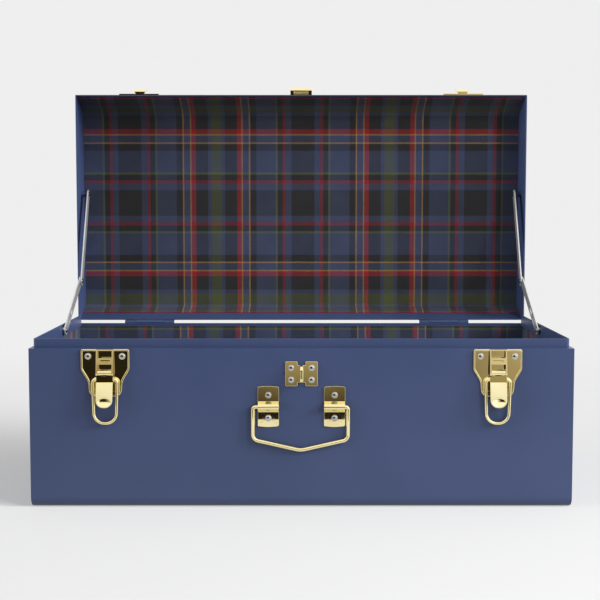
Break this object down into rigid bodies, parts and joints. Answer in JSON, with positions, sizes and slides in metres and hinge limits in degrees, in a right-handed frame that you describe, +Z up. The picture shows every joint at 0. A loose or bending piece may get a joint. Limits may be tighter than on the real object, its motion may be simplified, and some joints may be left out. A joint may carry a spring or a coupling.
{
  "type": "storage trunk",
  "caption": "Blue painted steel storage trunk with an open hinged lid, brass draw latches, a hasp, a drop handle and a tartan cloth lining.",
  "frame": {"origin": "middle of the tub's flat underside", "axes": "+X along the width to the right as seen from the front, -Y out of the front, +Z up"},
  "size_m": [0.6, 0.3714, 0.4894],
  "materials": {
    "navy_paint": "satin",
    "tartan_cloth": "woven",
    "polished_brass": "polished",
    "bright_steel": "polished"
  },
  "bodies": {
    "tub": {"tub_wrap": "navy_paint", "tub_end_left": "navy_paint", "tub_end_right": "navy_paint", "tub_lip": "navy_paint", "tub_lining_wrap": "tartan_cloth", "tub_lining_end_left": "tartan_cloth", "tub_lining_end_right": "tartan_cloth", "latch_rivets": "bright_steel", "staple": "polished_brass", "staple_rivets": "bright_steel", "handle_rivets": "bright_steel", "hinge_left_tub_leaf": "navy_paint", "hinge_left_pin": "bright_steel", "latch_left_plate": "polished_brass", "latch_left_pin": "bright_steel", "handle_left_bracket": "polished_brass", "stay_left_foot_stud": "bright_steel", "hinge_right_tub_leaf": "navy_paint", "hinge_right_pin": "bright_steel", "latch_right_plate": "polished_brass", "latch_right_pin": "bright_steel", "handle_right_bracket": "polished_brass", "stay_right_foot_stud": "bright_steel"},
    "lid": {"lid_wrap": "navy_paint", "lid_end_left": "navy_paint", "lid_end_right": "navy_paint", "lid_lining": "tartan_cloth", "catch_rivets": "bright_steel", "hasp_leaf": "polished_brass", "hasp_pin": "bright_steel", "hasp_rivets": "bright_steel", "hinge_left_lid_leaf": "navy_paint", "catch_left": "polished_brass", "stay_left_lid_boss": "navy_paint", "hinge_right_lid_leaf": "navy_paint", "catch_right": "polished_brass", "stay_right_lid_boss": "navy_paint"},
    "hasp": {"hasp_flap": "polished_brass"},
    "handle": {"handle_bail": "polished_brass"},
    "latch_left_lever": {"latch_left_lever": "polished_brass"},
    "latch_left_loop": {"latch_left_loop": "polished_brass"},
    "stay_left_lower": {"stay_left_lower_link": "bright_steel", "stay_left_elbow_rivet": "bright_steel"},
    "stay_left_upper": {"stay_left_upper_link": "bright_steel", "stay_left_top_rivet": "bright_steel"},
    "latch_right_lever": {"latch_right_lever": "polished_brass"},
    "latch_right_loop": {"latch_right_loop": "polished_brass"},
    "stay_right_lower": {"stay_right_lower_link": "bright_steel", "stay_right_elbow_rivet": "bright_steel"},
    "stay_right_upper": {"stay_right_upper_link": "bright_steel", "stay_right_top_rivet": "bright_steel"}
  },
  "joints": [
    {"name": "lid_hinge", "type": "hinge", "parent": "tub", "child": "lid", "pos_m": [0, 0.1529, 0.177], "axis": [1, 0, 0], "range_deg": [0, 90]},
    {"name": "hasp_swing", "type": "hinge", "parent": "lid", "child": "hasp", "pos_m": [0, 0.1579, 0.4855], "axis": [1, 0, 0], "range_deg": [0, 200]},
    {"name": "handle_lift", "type": "hinge", "parent": "tub", "child": "handle", "pos_m": [0, -0.1534, 0.113], "axis": [-1, 0, 0], "range_deg": [0, 150]},
    {"name": "latch_left_lift", "type": "hinge", "parent": "tub", "child": "latch_left_lever", "pos_m": [-0.2155, -0.156, 0.151], "axis": [-1, 0, 0], "range_deg": [0, 75]},
    {"name": "latch_left_loop_swing", "type": "hinge", "parent": "latch_left_lever", "child": "latch_left_loop", "pos_m": [-0.2155, -0.155, 0.1434], "axis": [-1, 0, 0], "range_deg": [0, 116.86]},
    {"name": "stay_left_foot", "type": "hinge", "parent": "tub", "child": "stay_left_lower", "pos_m": [-0.2921, 0.0184, 0.18], "axis": [1, 0, 0], "range_deg": [0, 212.01]},
    {"name": "stay_left_elbow", "type": "hinge", "parent": "stay_left_lower", "child": "stay_left_upper", "pos_m": [-0.2921, 0.1229, 0.23417], "axis": [1, 0, 0], "range_deg": [-195.14, 0]},
    {"name": "latch_right_lift", "type": "hinge", "parent": "tub", "child": "latch_right_lever", "pos_m": [0.2155, -0.156, 0.151], "axis": [-1, 0, 0], "range_deg": [0, 75]},
    {"name": "latch_right_loop_swing", "type": "hinge", "parent": "latch_right_lever", "child": "latch_right_loop", "pos_m": [0.2155, -0.155, 0.1434], "axis": [-1, 0, 0], "range_deg": [0, 116.86]},
    {"name": "stay_right_foot", "type": "hinge", "parent": "tub", "child": "stay_right_lower", "pos_m": [0.2921, 0.0184, 0.18], "axis": [1, 0, 0], "range_deg": [0, 212.01]},
    {"name": "stay_right_elbow", "type": "hinge", "parent": "stay_right_lower", "child": "stay_right_upper", "pos_m": [0.2921, 0.1229, 0.23417], "axis": [1, 0, 0], "range_deg": [-195.14, 0]}
  ],
  "couplings": [
    {"joint": "latch_left_loop_swing", "follows": "latch_left_lift", "ratio": 1.5574},
    {"joint": "stay_left_foot", "follows": "lid_hinge", "ratio": 2.3551},
    {"joint": "stay_left_elbow", "follows": "lid_hinge", "ratio": -2.1677},
    {"joint": "latch_right_loop_swing", "follows": "latch_right_lift", "ratio": 1.5574},
    {"joint": "stay_right_foot", "follows": "lid_hinge", "ratio": 2.3551},
    {"joint": "stay_right_elbow", "follows": "lid_hinge", "ratio": -2.1677}
  ]
}
